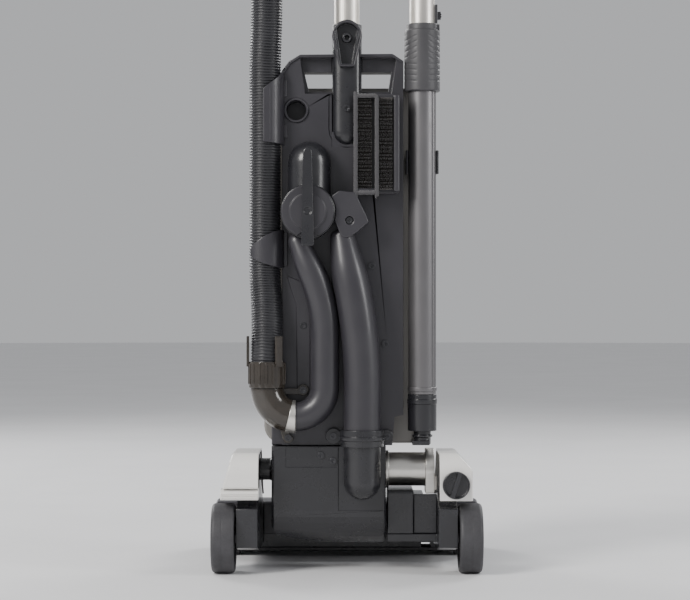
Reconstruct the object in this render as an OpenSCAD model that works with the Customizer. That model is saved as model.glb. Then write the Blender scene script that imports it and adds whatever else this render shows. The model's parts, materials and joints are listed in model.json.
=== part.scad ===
// Upright vacuum cleaner with an on-board hose, telescopic wand and brush tool.
// Rear of the machine faces -Y, the nozzle faces +Y, and the floor is Z = 0.

/* [Recline joint] */
// Height of the recline axis above the floor
pivot_z = 125; // [122:1:128]

/* [Body] */
// Half width of the rear shell
shell_half_w = 82; // [80:1:82]
// Half width of the front bag housing
front_half_w = 106; // [100:1:106]
// Wall thickness of the casings
wall = 3; // [2:0.5:3]

/* [Air path] */
// Outer radius of the left duct
left_duct_r = 18; // [16:1:18]
// Outer radius of the right duct
right_duct_r = 23; // [22:0.5:23]
// Outer radius of the stretch hose
hose_r = 20; // [18:1:20]

/* [Handle] */
// Radius of the handle tube
handle_r = 16; // [14:1:16]
// Height of the grip's top above the floor
grip_top = 1220; // [1215:5:1240]

/* [Wand] */
// Outer radius of the wand's lower tube
lower_tube_r = 17.5; // [17.5:0.5:18]
// Outer radius of the wand's upper tube
upper_tube_r = 16; // [15:0.5:16]

/* [Head] */
// Half width of the nozzle
nozzle_half_w = 170; // [166:1:171]
// Radius of the rear wheels
wheel_r = 43.5; // [42:0.5:43.5]

/* [Hidden] */
$fn = 64;

pivot_y = -60;
axle_y = -120;
shell_y = -100;         // rear face of the rear shell
parting_y = -60;        // where the rear and front shells meet
door_y = 20;            // where the bag door meets the front shell
housing_y = -108;       // rear face of the motor housing
left_pipe_y = -121;     // centre plane of left duct, elbow and cuff
right_pipe_y = -124;    // centre plane of right duct and boot
right_pipe_x = 19;
left_pipe_x = -28;
duct_wall = 2.5;
gap = 0.3;              // clearance between separate pieces
fit = 0.05;             // radial running clearance of a shaft
handle_axis = [0, -88];
wand_axis = [95, -92];
roller_axis = [118, 32];  // brush roller, in Y and Z
motor_axis = [pivot_y, 72];
u_bend = [-64, 231];      // centre of the U bend, in X and Z
u_bend_r = 36;
dial = [-48.75, 451];     // centre of the diverter dial, in X and Z
clip_axis = [-103, -102]; // hose centre at its clips, in X and Y
hinge_z = 614;            // bag door hinge
front_top = 612;
front_bottom = 158;
charcoal = "#2d2c32";
near_black = "#1c1c20";
pearl = "#dcdad6";
satin = "#b9b4aa";
smoke = "#4a3f37";

// Hose centreline, bottom cuff to handpiece, in X, Y and Z
hose_route = [
    [-100, -121, 242], [-100, -121, 272], [-100, -114, 305], [-101, -106, 340], [-103, -102, 375],
    [-103, -102, 435], [-103, -102, 500], [-103, -102, 570], [-103, -102, 635], [-101, -105, 700],
    [-102, -110, 770], [-107, -115, 830], [-111, -121, 885], [-113, -126, 939], [-102, -129, 996],
    [-69, -130, 1045], [-20, -130, 1078], [37, -130, 1089], [94, -127, 1078], [143, -120, 1045],
    [176, -112, 996], [187, -104, 939], [176, -97, 882], [143, -92, 833], [132, -92, 822]];

// Points of an arc about c, from angle a0 to a1
function arc(c, r, a0, a1, n = 10) =
    [for (i = [0:n]) c + r * [cos(a0 + (a1 - a0) * i / n), sin(a0 + (a1 - a0) * i / n)]];

// Rounded rectangle from corner lo to corner hi
function rounded(lo, hi, r) = concat(
    arc([hi[0] - r, hi[1] - r], r, 0, 90, 6), arc([lo[0] + r, hi[1] - r], r, 90, 180, 6),
    arc([lo[0] + r, lo[1] + r], r, 180, 270, 6), arc([hi[0] - r, lo[1] + r], r, 270, 360, 6));

// Outline in X and Z, extruded from y0 to y1
module xz_prism(points, y0, y1) {
    translate([0, y1, 0]) rotate([90, 0, 0]) linear_extrude(y1 - y0) polygon(points);
}

// Outline in Y and Z, extruded from x0 to x1
module yz_prism(points, x0, x1) {
    translate([x0, 0, 0]) rotate([90, 0, 90]) linear_extrude(x1 - x0) polygon(points);
}

// Outline in X and Y, extruded from z0 to z1
module xy_prism(points, z0, z1) {
    translate([0, 0, z0]) linear_extrude(z1 - z0) polygon(points);
}

module x_rod(x0, x1, y, z, r) {
    translate([x0, y, z]) rotate([0, 90, 0]) cylinder(h = x1 - x0, r = r);
}

module y_rod(x, y0, y1, z, r) {
    translate([x, y0, z]) rotate([-90, 0, 0]) cylinder(h = y1 - y0, r = r);
}

module z_rod(x, y, z0, z1, r) {
    translate([x, y, z0]) cylinder(h = z1 - z0, r = r);
}

module box(lo, hi) {
    translate(lo) cube(hi - lo);
}

// Bent pipe in the X-Z plane: centre c in X and Z, bend radius, angles, outer and bore radius
module bend(c, y, bend_r, a0, a1, r, bore) {
    translate([c[0], y, c[1]]) rotate([90, 0, 0]) rotate([0, 0, a0])
        rotate_extrude(angle = a1 - a0) translate([bend_r, 0]) difference() {
            circle(r);
            circle(bore);
        }
}

// Straight upright pipe
module pipe(x, y, z0, z1, r, bore) {
    translate([x, y, z0]) linear_extrude(z1 - z0) difference() {
        circle(r);
        circle(bore);
    }
}

// Screw with a cross recess, head on the plane y, shank pointing to +Y
module screw(x, y, z, shank = 9) {
    difference() {
        union() {
            y_rod(x, y - 2.4, y, z, 4.4);
            y_rod(x, y - 0.5, y + shank, z, 1.9);
        }
        box([x - 2.6, y - 2.5, z - 0.6], [x + 2.6, y - 1, z + 0.6]);
        box([x - 0.6, y - 2.5, z - 2.6], [x + 0.6, y - 1, z + 2.6]);
    }
}

shell_screws = [[31, 384], [-55, 309], [48, 286]];
housing_screws = [[-33, 146], [-17.5, 139]];

// ---------------------------------------------------------------- head

function leg_side() = concat(
    [[-145, 34], [-145, 82], [-112, 85], [-88, 108]],
    arc([pivot_y, pivot_z], 21, 165, 15, 8),
    [[-30, 108], [20, 84], [50, 68], [50, 20], [-96, 26]]);

function nozzle_side(out) = [
    [48 - out, 12], [48 - out, 66 + out], [72, 69 + out], [125 + out / 2, 66 + out],
    [148 + out, 52 + out], [158 + out, 34 + out], [158 + out, 12]];

module head_chassis() {
    color(near_black) difference() {
        union() {
            yz_prism(leg_side(), -138, -111);
            yz_prism([[-145, 34], [-145, 82], [-112, 85], [-88, 98], [20, 84], [50, 68], [50, 20],
                [-96, 26]], 114, 138);
            yz_prism(nozzle_side(0), -nozzle_half_w, nozzle_half_w);
            box([51, pivot_y - 36, 36], [115, pivot_y + 36, 45.7]);
        }
        // Brush chamber, open at the bottom
        x_rod(-152, 152, roller_axis[0], roller_axis[1], 30);
        box([-152, 88, 0], [152, 148, roller_axis[1]]);
        // Duct inside the right leg and its mouth at the recline axis
        box([118, -60, 50], [134, 104, 62]);
        box([118, -76, 50], [134, -44, 120]);
        // Belt slot
        box([99, 40, 11], [111, 100, 62]);
        // Bores: recline trunnion, wheel axles, brush roller ends
        x_rod(-140, -110, pivot_y, pivot_z, 14 + fit);
        x_rod(-140, -110, axle_y, 43.5, 6);
        x_rod(113, 140, axle_y, 43.5, 6);
        x_rod(-160, 160, roller_axis[0], roller_axis[1], 5 + fit);
        // Pockets for the front rollers
        for (side = [-1, 1]) {
            box([side * 150 - 9, 54, 0], [side * 150 + 9, 82, 27]);
            x_rod(side * 150 - 15, side * 150 + 15, 68, 13, 3 + fit);
        }
    }
}

module nozzle_cover() {
    color(charcoal) difference() {
        yz_prism([[44, 30], [44, 70], [47, 73], [72, 74.5], [127, 71], [152, 55], [161, 41],
            [163.5, 36], [163.5, 30]], -174.5, 174.5);
        intersection() {
            yz_prism(nozzle_side(gap), -nozzle_half_w - gap, nozzle_half_w + gap);
            box([-200, 0, 20], [200, 200, 100]);
        }
        yz_prism([[47, 20], [47, 31], [159, 31], [159, 20]], -nozzle_half_w - gap,
            nozzle_half_w + gap);
        // Notches where the two legs join the nozzle
        box([-138.5, 40, 20], [-110.5, 51, 90]);
        box([113.5, 40, 20], [138.5, 51, 90]);
        box([98, 40, 20], [112, 51, 66]);
    }
}

module sole_plate() {
    color(satin) difference() {
        box([-165, 52, 7], [165, 156, 11.7]);
        box([-146, 90, 0], [146, 146, 20]);
        for (side = [-1, 1]) {
            box([side * 150 - 9.5, 53, 0], [side * 150 + 9.5, 83, 20]);
            box([side * 150 - 15, 64, 0], [side * 150 + 15, 72, 20]);
        }
    }
}

module bumper() {
    color(near_black) difference() {
        box([-175, 90, 14], [175, 163.5, 29]);
        box([-nozzle_half_w - gap, 80, 0], [nozzle_half_w + gap, 158 + gap, 40]);
        for (side = [-1, 1]) translate([side * 175, 163.5, 10]) rotate([0, 0, 45])
            box([-5, -5, 0], [5, 5, 30]);
    }
}

function cover_side(d, low) = concat(
    [[-146 + d, low]], arc([-122, 126], 24 - d, 180, 90, 6), arc([-40, 126], 24 - d, 80, 60, 3),
    [[20 - d, 98 - d], [42, 86 - d], [42, 78]]);

// Slanting outer side of a leg cover: x at the foot, height where the slant starts, x at the top
left_slant = [-157, 99, -143];
right_slant = [156, 130, 138];

function cover_front(slant, x_in, d) = let (out = sign(slant[0])) [
    [slant[0] - out * d, 60], [slant[0] - out * d, slant[1]], [slant[2] - out * d, 150], [x_in, 150], [x_in, 60]];

module cover_shell(low, slant, x_in) {
    inner = x_in - sign(slant[0]) * 5;
    difference() {
        intersection() {
            yz_prism(concat(cover_side(0, low), [[-60, 90], [-118, 90], [-118, low]]), -160, 160);
            xz_prism(cover_front(slant, x_in, 0), -150, 50);
        }
        intersection() {
            yz_prism(concat(cover_side(2.5, low - 20), [[-118, low - 20]]), -160, 160);
            xz_prism(cover_front(slant, inner, 2.5), -150, 50);
        }
        // The nozzle cover passes under the front end
        box([-160, 20, 60], [160, 60, 84]);
    }
}

module left_cover() {
    color(pearl) cover_shell(107, left_slant, -110);
}

module right_cover() {
    color(pearl) difference() {
        cover_shell(92, right_slant, 115);
        y_rod(135, -150, -140, 112, 5 + fit);
    }
}

module pivot_bracket() {
    color(satin) difference() {
        union() {
            x_rod(99.5, 111, pivot_y, pivot_z, 27);
            yz_prism([[pivot_y - 26.5, 96], [pivot_y - 26.5, 122], [pivot_y + 26.5, 122],
                [pivot_y + 26.5, 96]], 99.5, 111);
            box([110.5, pivot_y - 20, 99.5], [113.8, pivot_y + 20, 118]);
        }
        x_rod(98, 112, pivot_y, pivot_z, 21.5 + fit);
        x_rod(110, 116, pivot_y, pivot_z, 16);
    }
}

module brush_motor() {
    color(near_black) difference() {
        union() {
            yz_prism([[pivot_y - 36, 46], [pivot_y - 36, 98], [pivot_y - 33, 101], [pivot_y + 26, 101],
                [pivot_y + 36, 90], [pivot_y + 36, 46]], 51, 84);
            yz_prism([[pivot_y - 33, 46], [pivot_y - 33, 95.7], [pivot_y + 26, 95.7],
                [pivot_y + 36, 90], [pivot_y + 36, 46]], 83, 97);
            // Belt guard
            box([96, pivot_y - 33, 46], [113.7, pivot_y - 27, 95.7]);
        }
        x_rod(85, 98, motor_axis[0], motor_axis[1], 3 + fit);
    }
}

module motor_pulley() {
    color("silver") {
        x_rod(86, 112, motor_axis[0], motor_axis[1], 3);
        x_rod(99.5, 101, motor_axis[0], motor_axis[1], 9.5);
        x_rod(100.5, 109.5, motor_axis[0], motor_axis[1], 8);
        x_rod(109, 110.5, motor_axis[0], motor_axis[1], 9.5);
    }
}

// Belt around the motor pulley and the roller's groove
belt_tilt = atan2(roller_axis[1] - motor_axis[1], roller_axis[0] - motor_axis[0]);
belt_reach = norm(roller_axis - motor_axis);
belt_taper = asin((13.5 - 8) / belt_reach);

function belt_loop(d) = concat(
    arc([0, 0], 8 + d, 90 + belt_taper, 270 - belt_taper, 12),
    arc([belt_reach, 0], 13.5 + d, -90 - belt_taper, 90 + belt_taper, 12));

module drive_belt() {
    color(near_black) translate([102, motor_axis[0], motor_axis[1]]) rotate([90, 0, 90])
        rotate([0, 0, belt_tilt]) linear_extrude(6) difference() {
            polygon(belt_loop(gap + 2));
            polygon(belt_loop(gap));
        }
}

module brush_roller() {
    color(near_black) {
        x_rod(-156, 156, roller_axis[0], roller_axis[1], 5);
        x_rod(-149, 99, roller_axis[0], roller_axis[1], 18);
        x_rod(98, 112, roller_axis[0], roller_axis[1], 13.5);
        x_rod(111, 149, roller_axis[0], roller_axis[1], 18);
    }
}

tuft_rows = 4;
tuft_xs = [for (x = [-140:20:140]) if (abs(x - 105) > 12) x];

module brush_bristles() {
    color("dimgray") for (row = [0:tuft_rows - 1]) for (x = tuft_xs)
        translate([x, roller_axis[0], roller_axis[1]]) rotate([row * 90 + x / 2, 0, 0])
            box([-4, -2, 18], [4, 2, 27.5]);
}

module wheel(x_in, x_out) {
    side = sign(x_out);
    difference() {
        union() {
            x_rod(min(x_in, x_out - side * 3), max(x_in, x_out - side * 3), axle_y, 43.5, wheel_r);
            translate([x_out - side * 3.5, axle_y, 43.5]) rotate([0, side * 90, 0])
                cylinder(h = 3.5, r1 = wheel_r - 1, r2 = wheel_r - 5);
        }
        x_rod(min(x_in, x_out - side * 6) - 0.1, max(x_in, x_out - side * 6) + 0.1, axle_y, 43.5,
            6 + fit);
        // Hollow inner face
        difference() {
            x_rod(min(x_in - side, x_in + side * 14), max(x_in - side, x_in + side * 14), axle_y,
                43.5, 36);
            x_rod(min(x_in - 2 * side, x_in + side * 15), max(x_in - 2 * side, x_in + side * 15),
                axle_y, 43.5, 12);
        }
    }
}

module wheel_left() {
    color(charcoal) wheel(-139.5, -170);
}

module wheel_right() {
    color(charcoal) wheel(139.5, 170);
}

module wheel_axles() {
    color("silver") for (side = [-1, 1])
        x_rod(min(side * 115, side * 163), max(side * 115, side * 163), axle_y, 43.5, 6);
}

module release_pedal() {
    color(pearl) difference() {
        union() {
            yz_prism([[-146, 93], [-146, 101], [-141, 106], [-119, 106], [-119, 96], [-124, 93]],
                -157, -110);
            for (i = [0:3]) box([-156, -147.2, 94 + i * 2], [-111, -145.5, 95 + i * 2]);
        }
        x_rod(-158, -109, -122, 99.5, 2 + fit);
    }
}

module height_knob() {
    color(near_black) difference() {
        union() {
            y_rod(135, -156, -146.4, 112, 17);
            y_rod(135, -147, -134, 112, 5);
        }
        // Two recesses leave a raised grip bar across the face
        for (side = [-1, 1]) translate([135, 0, 112]) rotate([0, 18, 0]) intersection() {
            y_rod(0, -157, -151, 0, 15);
            box([side == 1 ? 3 : -20, -158, -20], [side == 1 ? 20 : -3, -150, 20]);
        }
    }
}

module front_roller(side) {
    color("dimgray") {
        x_rod(side * 150 - 7.5, side * 150 + 7.5, 68, 13, 13);
        x_rod(side * 150 - 14, side * 150 + 14, 68, 13, 3);
    }
}

module front_roller_left() {
    front_roller(-1);
}

module front_roller_right() {
    front_roller(1);
}

// ---------------------------------------------------------------- body, lower part

function housing_side(d) = concat(
    [[housing_y + d, front_bottom - 1 - d]], arc([-64, 76], 44 - d, 180, 270, 9),
    arc([-30, 92], 60 - d, 270, 360, 10), [[30 - d, front_bottom - 1 - d]]);

// Outline from the rear: the bottom rises to the left
function housing_rear(d) = [
    [-95 + d, 180], [-95 + d, 54 + d], [-90 + d, 47 + d], [-78, 42 + d], [-63, 38.5 + d], [-38, 35 + d],
    [-9, 32.6 + d], [12, 31 + d], [49 - d, 31 + d], [49 - d, 180]];

module motor_housing() {
    color(near_black) difference() {
        union() {
            intersection() {
                yz_prism(housing_side(0), -96, 50);
                xz_prism(housing_rear(0), -120, 40);
            }
            x_rod(-130, -94, pivot_y, pivot_z, 14);
        }
        intersection() {
            yz_prism(housing_side(wall), -96, 50);
            xz_prism(housing_rear(wall), -120, 40);
        }
        // Opening and shallow recess for the duct boot
        box([-11, housing_y - 1, 76], [47, housing_y + 1.2, front_bottom]);
        z_rod(right_pipe_x, right_pipe_y, 114.5, 160, right_duct_r + gap);
        translate([right_pipe_x, right_pipe_y, 114.5]) sphere(right_duct_r + gap);
        // Shallow recess of the service panel
        box([-77, housing_y - 1, 131], [-12, housing_y + 0.8, 156]);
        for (p = housing_screws) y_rod(p[0], -110, -100, p[1], 2);
        // Air outlet to the swivel tube
        x_rod(45, 50, pivot_y, pivot_z, 18);
    }
}

module swivel_tube() {
    color(satin) difference() {
        union() {
            x_rod(49.1, 111, pivot_y, pivot_z, 21.5);
            x_rod(49.1, 53, pivot_y, pivot_z, 24);
        }
        x_rod(48, 112, pivot_y, pivot_z, 18.5);
    }
}

module suction_motor() {
    color("silver") {
        x_rod(-62, 20, -42, 92, 42);
        x_rod(-72, -61, -42, 92, 20);
    }
}

module motor_fan() {
    color("gray") x_rod(20.4, 40, -42, 92, 50);
}

module motor_filter() {
    color("white") box([-60, -45, 223], [60, 10, 232]);
}

// ---------------------------------------------------------------- body, shells

shell_right = 71;       // right edge of the rear shell, beside the wand

function shell_outline() = [
    [-shell_half_w, front_bottom], [57, front_bottom], [60, 194], [shell_right, 196],
    [shell_right, 642], [57, 651], [-59, 650], [-73, 642], [-shell_half_w, 630]];

tool_socket = [-64, 580];

module rear_shell() {
    color(charcoal) difference() {
        xz_prism(shell_outline(), shell_y, parting_y - gap);
        // Hollow below the handle
        difference() {
            xz_prism([[-shell_half_w + wall, front_bottom + wall], [54, front_bottom + wall],
                [57, 197], [shell_right - wall, 199], [shell_right - wall, 592],
                [-shell_half_w + wall, 592]], shell_y + wall, parting_y + 1);
            for (p = shell_screws) y_rod(p[0], shell_y, shell_y + 14, p[1], 6);
            y_rod(tool_socket[0], shell_y, shell_y + 34, tool_socket[1], 15.5);
            z_rod(handle_axis[0], handle_axis[1], 530, 600, 22);
        }
        // Finger opening of the carry handle
        xz_prism([[-48, 604], [52, 604], [56, 629], [-54, 629]], shell_y - 1, parting_y + 1);
        xz_prism([[-53, 601], [56, 601], [62, 645.5], [-59, 645.5]], shell_y - 1, shell_y + 11);
        // Seat of the handle socket, open to the rear
        z_rod(handle_axis[0], handle_axis[1], 534.5, 660, 18.75 + gap);
        box([-18.75 - gap, shell_y - 1, 534.5], [18.75 + gap, handle_axis[1], 660]);
        xz_prism(concat(arc([0, 556], 23, 180, 360, 10), [[23, 600], [-23, 600]]),
            shell_y - 1, shell_y + 1.5);
        // Storage socket for a hand tool
        y_rod(tool_socket[0], shell_y - 1, shell_y + 30, tool_socket[1], 12.5);
        for (p = shell_screws) y_rod(p[0], shell_y - 1, shell_y + 11, p[1], 2);
        // Air inlet behind the diverter
        y_rod(-47.5, shell_y - 1, shell_y + wall + 1, 505, 20);
    }
}

module front_shell() {
    color(satin) {
        difference() {
            xz_prism(rounded([-front_half_w, front_bottom], [front_half_w, front_top], 22),
                parting_y, door_y);
            xz_prism(rounded([-front_half_w + wall, 222], [front_half_w - wall, front_top - wall], 19),
                parting_y + wall, door_y + 1);
            box([-front_half_w + 8, parting_y + wall, 164], [front_half_w - 8, door_y - wall, 218.5]);
            y_rod(-47.5, parting_y - 1, parting_y + wall + 1, 505, 20);
            // Exhaust grille
            for (i = [0:11]) box([-84.5 + i * 15, door_y - 5, 172], [-78.5 + i * 15, door_y + 1, 210]);
        }
        // Hinge ear and pin of the bag door
        for (x = [-50, 0, 50]) {
            x_rod(x - 8, x + 8, 24, hinge_z, 4);
            box([x - 8, 10, front_top - 1], [x + 8, 24, hinge_z + 3.6]);
        }
        x_rod(-72, 72, 24, hinge_z, 1.5);
    }
}

function door_side(d) = [
    [door_y + gap, 222 + d], [58 - d, 222 + d], [66 - d, 236 + d], [70 - d, 300], [70 - d, 480],
    [64 - d, 560], [52 - d, 598 - d], [40 - d, 606 - d], [door_y + gap, 608 - d]];

module bag_door() {
    color(satin) difference() {
        union() {
            intersection() {
                yz_prism(door_side(0), -front_half_w, front_half_w);
                xz_prism(rounded([-front_half_w, 222], [front_half_w, 608], 20), 0, 80);
            }
            for (x = [-25, 25]) {
                x_rod(x - 14, x + 14, 24, hinge_z, 4);
                box([x - 14, 21, 600], [x + 14, 27.9, hinge_z]);
            }
        }
        difference() {
            intersection() {
                yz_prism(concat([[door_y - 1, 222 + wall]], door_side(wall), [[door_y - 1, 605]]),
                    -front_half_w + wall, front_half_w - wall);
                xz_prism(rounded([-front_half_w + wall, 225], [front_half_w - wall, 605], 17), 0, 80);
            }
            box([-22, 50, 222], [22, 80, 262]);
        }
        x_rod(-60, 60, 24, hinge_z, 1.5 + fit);
        // Latch pocket
        box([-16, 58, 232], [16, 80, 254]);
    }
}

module door_latch() {
    color(near_black) box([-15.6, 58.3, 232.3], [15.6, 69, 246]);
}

module filter_bag() {
    color("ivory") xz_prism(rounded([-80, 240], [80, 575], 25), -50, 44);
}

module exhaust_filter() {
    color("white") box([-90, -50, 166], [90, 8, 214]);
}

// ---------------------------------------------------------------- handle

module handle_socket() {
    color(near_black) difference() {
        union() {
            z_rod(handle_axis[0], handle_axis[1], 553.5, 689, 18.75);
            intersection() {
                translate([0, handle_axis[1], 553.5]) sphere(18.75);
                z_rod(handle_axis[0], handle_axis[1], 530, 554, 18.75);
            }
            // Teardrop hood on the rear
            xz_prism(concat(arc([0, 674], 18, 150, 30, 8), [[9, 633], [-9, 633]]), -118, -96);
        }
        z_rod(handle_axis[0], handle_axis[1], 560, 700, handle_r);
        difference() {
            xz_prism(concat(arc([0, 673], 15, 150, 30, 8), [[6.5, 637], [-6.5, 637]]), -119, -107);
            y_rod(0, -114, -100, 670, 6);
        }
        y_rod(0, -120, -105, 670, 3);
        y_rod(0, -110, -103, 582, 2);
    }
}

module handle_tube() {
    color(satin) difference() {
        z_rod(handle_axis[0], handle_axis[1], 560, grip_z + 30, handle_r);
        z_rod(handle_axis[0], handle_axis[1], 550, grip_z + 40, handle_r - 1.5);
    }
}

grip_z = 1078;          // lower end of the grip

function grip_loop() = concat(
    arc([-86, 1138], 18, 270, 360, 5), arc([-88, grip_top - 20], 20, 0, 90, 6),
    arc([-128, grip_top - 26], 26, 90, 180, 6), arc([-136, 1140], 18, 180, 270, 6));

function grip_hole() = concat(
    arc([-92, 1152], 8, 270, 360, 5), arc([-92, grip_top - 32], 10, 0, 90, 6),
    arc([-122, grip_top - 36], 14, 90, 180, 6), arc([-126, 1152], 10, 180, 270, 6));

module handle_grip() {
    color(near_black) difference() {
        union() {
            z_rod(handle_axis[0], handle_axis[1], grip_z, 1132, 20);
            xz_prism(rounded([-14, grip_z + 2], [14, 1120], 5), -70, -64);
            yz_prism(grip_loop(), -15, 15);
        }
        yz_prism(grip_hole(), -16, 16);
        z_rod(handle_axis[0], handle_axis[1], grip_z - 1, grip_z + 30, handle_r);
        box([-8, -71.6, 1088], [8, -60, 1112]);
    }
}

switch_axis = [-69, 1100];

module power_switch() {
    color("darkred") intersection() {
        x_rod(-7.6, 7.6, switch_axis[0], switch_axis[1], 10);
        box([-8, switch_axis[0] + 0.4, 1080], [8, -50, 1120]);
    }
}

module hose_hook() {
    color(near_black) difference() {
        union() {
            z_rod(handle_axis[0], handle_axis[1], 1031, 1059, 20);
            yz_prism(concat([[-104, 1033], [-104, 1057]], arc([-130, 1085], 25.5, 300, 215, 8),
                [[-155, 1092], [-160, 1090], [-159, 1063], [-142, 1045]]), -9, 9);
        }
        z_rod(handle_axis[0], handle_axis[1], 1000, 1060, handle_r);
    }
}

// ---------------------------------------------------------------- air path

module diverter_housing() {
    color(near_black) difference() {
        union() {
            y_rod(dial[0], -137, shell_y - gap, dial[1], 34);
            z_rod(-47.5, -108, 451, 513, 27);
            translate([-47.5, -108, 513]) sphere(27);
        }
        box([-120, shell_y - gap, 400], [20, -60, 560]);
        // Air passage from the dial to the dome
        z_rod(-47.5, -112, 440, 511, 8);
        y_rod(-47.5, -114, -95, 505, 16);
        y_rod(dial[0], -138, -125, dial[1], 4 + fit);
    }
}

module diverter_dial() {
    color(charcoal) difference() {
        union() {
            y_rod(dial[0], -143.5, -137.3, dial[1], 32.5);
            y_rod(dial[0], -146, -143, dial[1], 22.5);
            y_rod(dial[0], -138, -126, dial[1], 4);
        }
        // Fan-shaped recess at the lower side
        xz_prism([dial + [-4, -24], dial + [-22, -36], dial + [22, -36], dial + [4, -24]],
            -150, -141.5);
    }
}

module diverter_lever() {
    color(near_black) difference() {
        xz_prism(concat(arc([dial[0], 524], 5.5, 0, 180, 8),
            arc([dial[0] - 5.5, 410.5], 2.5, 180, 270, 3), arc([dial[0] + 5.5, 410.5], 2.5, 270, 360, 3)),
            -153, -146.1);
        y_rod(dial[0], -154, -151, dial[1], 4.5);
    }
}

module port_block() {
    color(charcoal) difference() {
        xz_prism([[-16, 441], [-8, 421.5], [-4, 418.8], [2, 418.5], [12, 425], [27, 438], [24, 446],
            [10, 475], [-10, 477], [-19, 471]], -136, shell_y - gap);
        y_rod(dial[0], -150, -90, dial[1], 34 + gap);
        y_rod(3, -137, -131, 440, 5);
    }
}

// Tapering end of a duct that follows a bend about c, from the bend angle a
module duct_nose(c, y, bend_r, a, r, r_end, length) {
    translate([c[0] + bend_r * cos(a), y, c[1] + bend_r * sin(a)]) rotate([0, -a, 0])
        translate([0, 0, -0.5]) difference() {
            cylinder(h = length, r1 = r, r2 = r_end);
            translate([0, 0, -0.5]) cylinder(h = length + 1, r1 = r - duct_wall, r2 = r_end - duct_wall);
        }
}

module left_duct() {
    bore = left_duct_r - duct_wall;
    upper_bend = [left_pipe_x - 180, 300];
    color(charcoal) {
        bend(u_bend, left_pipe_y, u_bend_r, -90, 0, left_duct_r, bore);
        pipe(left_pipe_x, left_pipe_y, 231, 300, left_duct_r, bore);
        bend(upper_bend, left_pipe_y, 180, 0, 24, left_duct_r, bore);
        difference() {
            duct_nose(upper_bend, left_pipe_y, 180, 24, left_duct_r, 9, 50);
            y_rod(dial[0], -150, -90, dial[1], 34 + gap);
        }
    }
}

module right_duct() {
    bore = right_duct_r - duct_wall;
    upper_bend = [right_pipe_x - 640, 230];
    color(charcoal) {
        pipe(right_pipe_x, right_pipe_y, 168, 230, right_duct_r, bore);
        bend(upper_bend, right_pipe_y, 640, 0, 12, right_duct_r, bore);
        difference() {
            duct_nose(upper_bend, right_pipe_y, 640, 12, right_duct_r, 13, 66);
            // Room for the port block and the diverter
            xz_prism([[-60, 500], [-16.4, 441], [-8.4, 421], [-4.2, 418.4], [2.2, 418.1], [12.3, 424.7],
                [60, 462], [60, 500]], -160, -80);
            y_rod(dial[0], -160, -90, dial[1], 34 + gap);
        }
    }
}

module duct_boot() {
    color(near_black) difference() {
        union() {
            z_rod(right_pipe_x, right_pipe_y, 114.5, 167.8, right_duct_r);
            translate([right_pipe_x, right_pipe_y, 114.5]) sphere(right_duct_r);
        }
        z_rod(right_pipe_x, right_pipe_y, 114.5, 169, right_duct_r - 2.5);
    }
}

module duct_clamp() {
    color(near_black) difference() {
        union() {
            z_rod(right_pipe_x, right_pipe_y, 158, 179, 27);
            z_rod(right_pipe_x, right_pipe_y, 166, 171, 28.5);
            y_rod(-17, -108, shell_y - gap, 170, 10);
            y_rod(50, -108, shell_y - gap, 170, 8);
            box([-17, -108, 164], [50, shell_y - gap, 176]);
        }
        z_rod(right_pipe_x, right_pipe_y, 150, 190, right_duct_r + 0.1);
        box([-60, shell_y - gap, 150], [80, -60, 190]);
        for (x = [-17, 50]) y_rod(x, -110, -95, 170, 2);
    }
}

module elbow() {
    color(smoke) difference() {
        union() {
            bend(u_bend, left_pipe_y, u_bend_r, 180, 256, 20.5, 1);
            // Two lugs that screw to the shell
            y_rod(-55, -108, shell_y - gap, 228, 7);
            box([-84, -108, 222], [-55, shell_y - gap, 230]);
            xz_prism(concat(arc([-74, 168], 7, 190, 350, 6), [[-79.5, 184.5], [-90, 200]]),
                -108, shell_y - gap);
        }
        translate([u_bend[0], left_pipe_y, u_bend[1]]) rotate([90, 0, 0]) rotate([0, 0, 179])
            rotate_extrude(angle = 78) translate([u_bend_r, 0]) circle(18);
        y_rod(-55, -109, -95, 228, 2);
        y_rod(-74, -109, -95, 168, 2);
    }
}

module elbow_band() {
    color("silver") bend(u_bend, left_pipe_y, u_bend_r, 256.3, 269.8, 20.6, 17);
}

module hose_cuff() {
    color(smoke) difference() {
        union() {
            z_rod(-100, left_pipe_y, 231.4, 264, 22.5);
            for (i = [0:15]) translate([-100, left_pipe_y, 0]) rotate([0, 0, i * 22.5])
                box([21, -1.6, 236], [23.6, 1.6, 262]);
            for (a = [-50, 180]) translate([-100, left_pipe_y, 0]) rotate([0, 0, a])
                box([22.2, -5, 258], [25.4, 5, 296]);
        }
        z_rod(-100, left_pipe_y, 242, 270, hose_r + 0.6);
        z_rod(-100, left_pipe_y, 230, 243, 17);
    }
}

// Tube swept along a route: rings of points, then side and end faces
hose_sides = 10;

function unit(v) = v / norm(v);
function route_dir(p, i) = unit(p[min(i + 1, len(p) - 1)] - p[max(i - 1, 0)]);
function ring_at(p, i, r) =
    let (t = route_dir(p, i), u = unit(cross([0, 1, 0], t)), v = cross(t, u))
    [for (k = [0:hose_sides - 1])
        p[i] + r * (cos(360 * k / hose_sides) * u + sin(360 * k / hose_sides) * v)];

module hose() {
    last = len(hose_route) - 1;
    n = hose_sides;
    points = [for (i = [0:last]) each ring_at(hose_route, i, hose_r - 0.4)];
    sides = [for (i = [0:last - 1]) for (k = [0:n - 1])
        [i * n + k, (i + 1) * n + k, (i + 1) * n + (k + 1) % n, i * n + (k + 1) % n]];
    ends = [[for (k = [0:n - 1]) k], [for (k = [n - 1:-1:0]) last * n + k]];
    color(near_black) polyhedron(points, concat(sides, ends));
}

// ---------------------------------------------------------------- clips and screws

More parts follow.
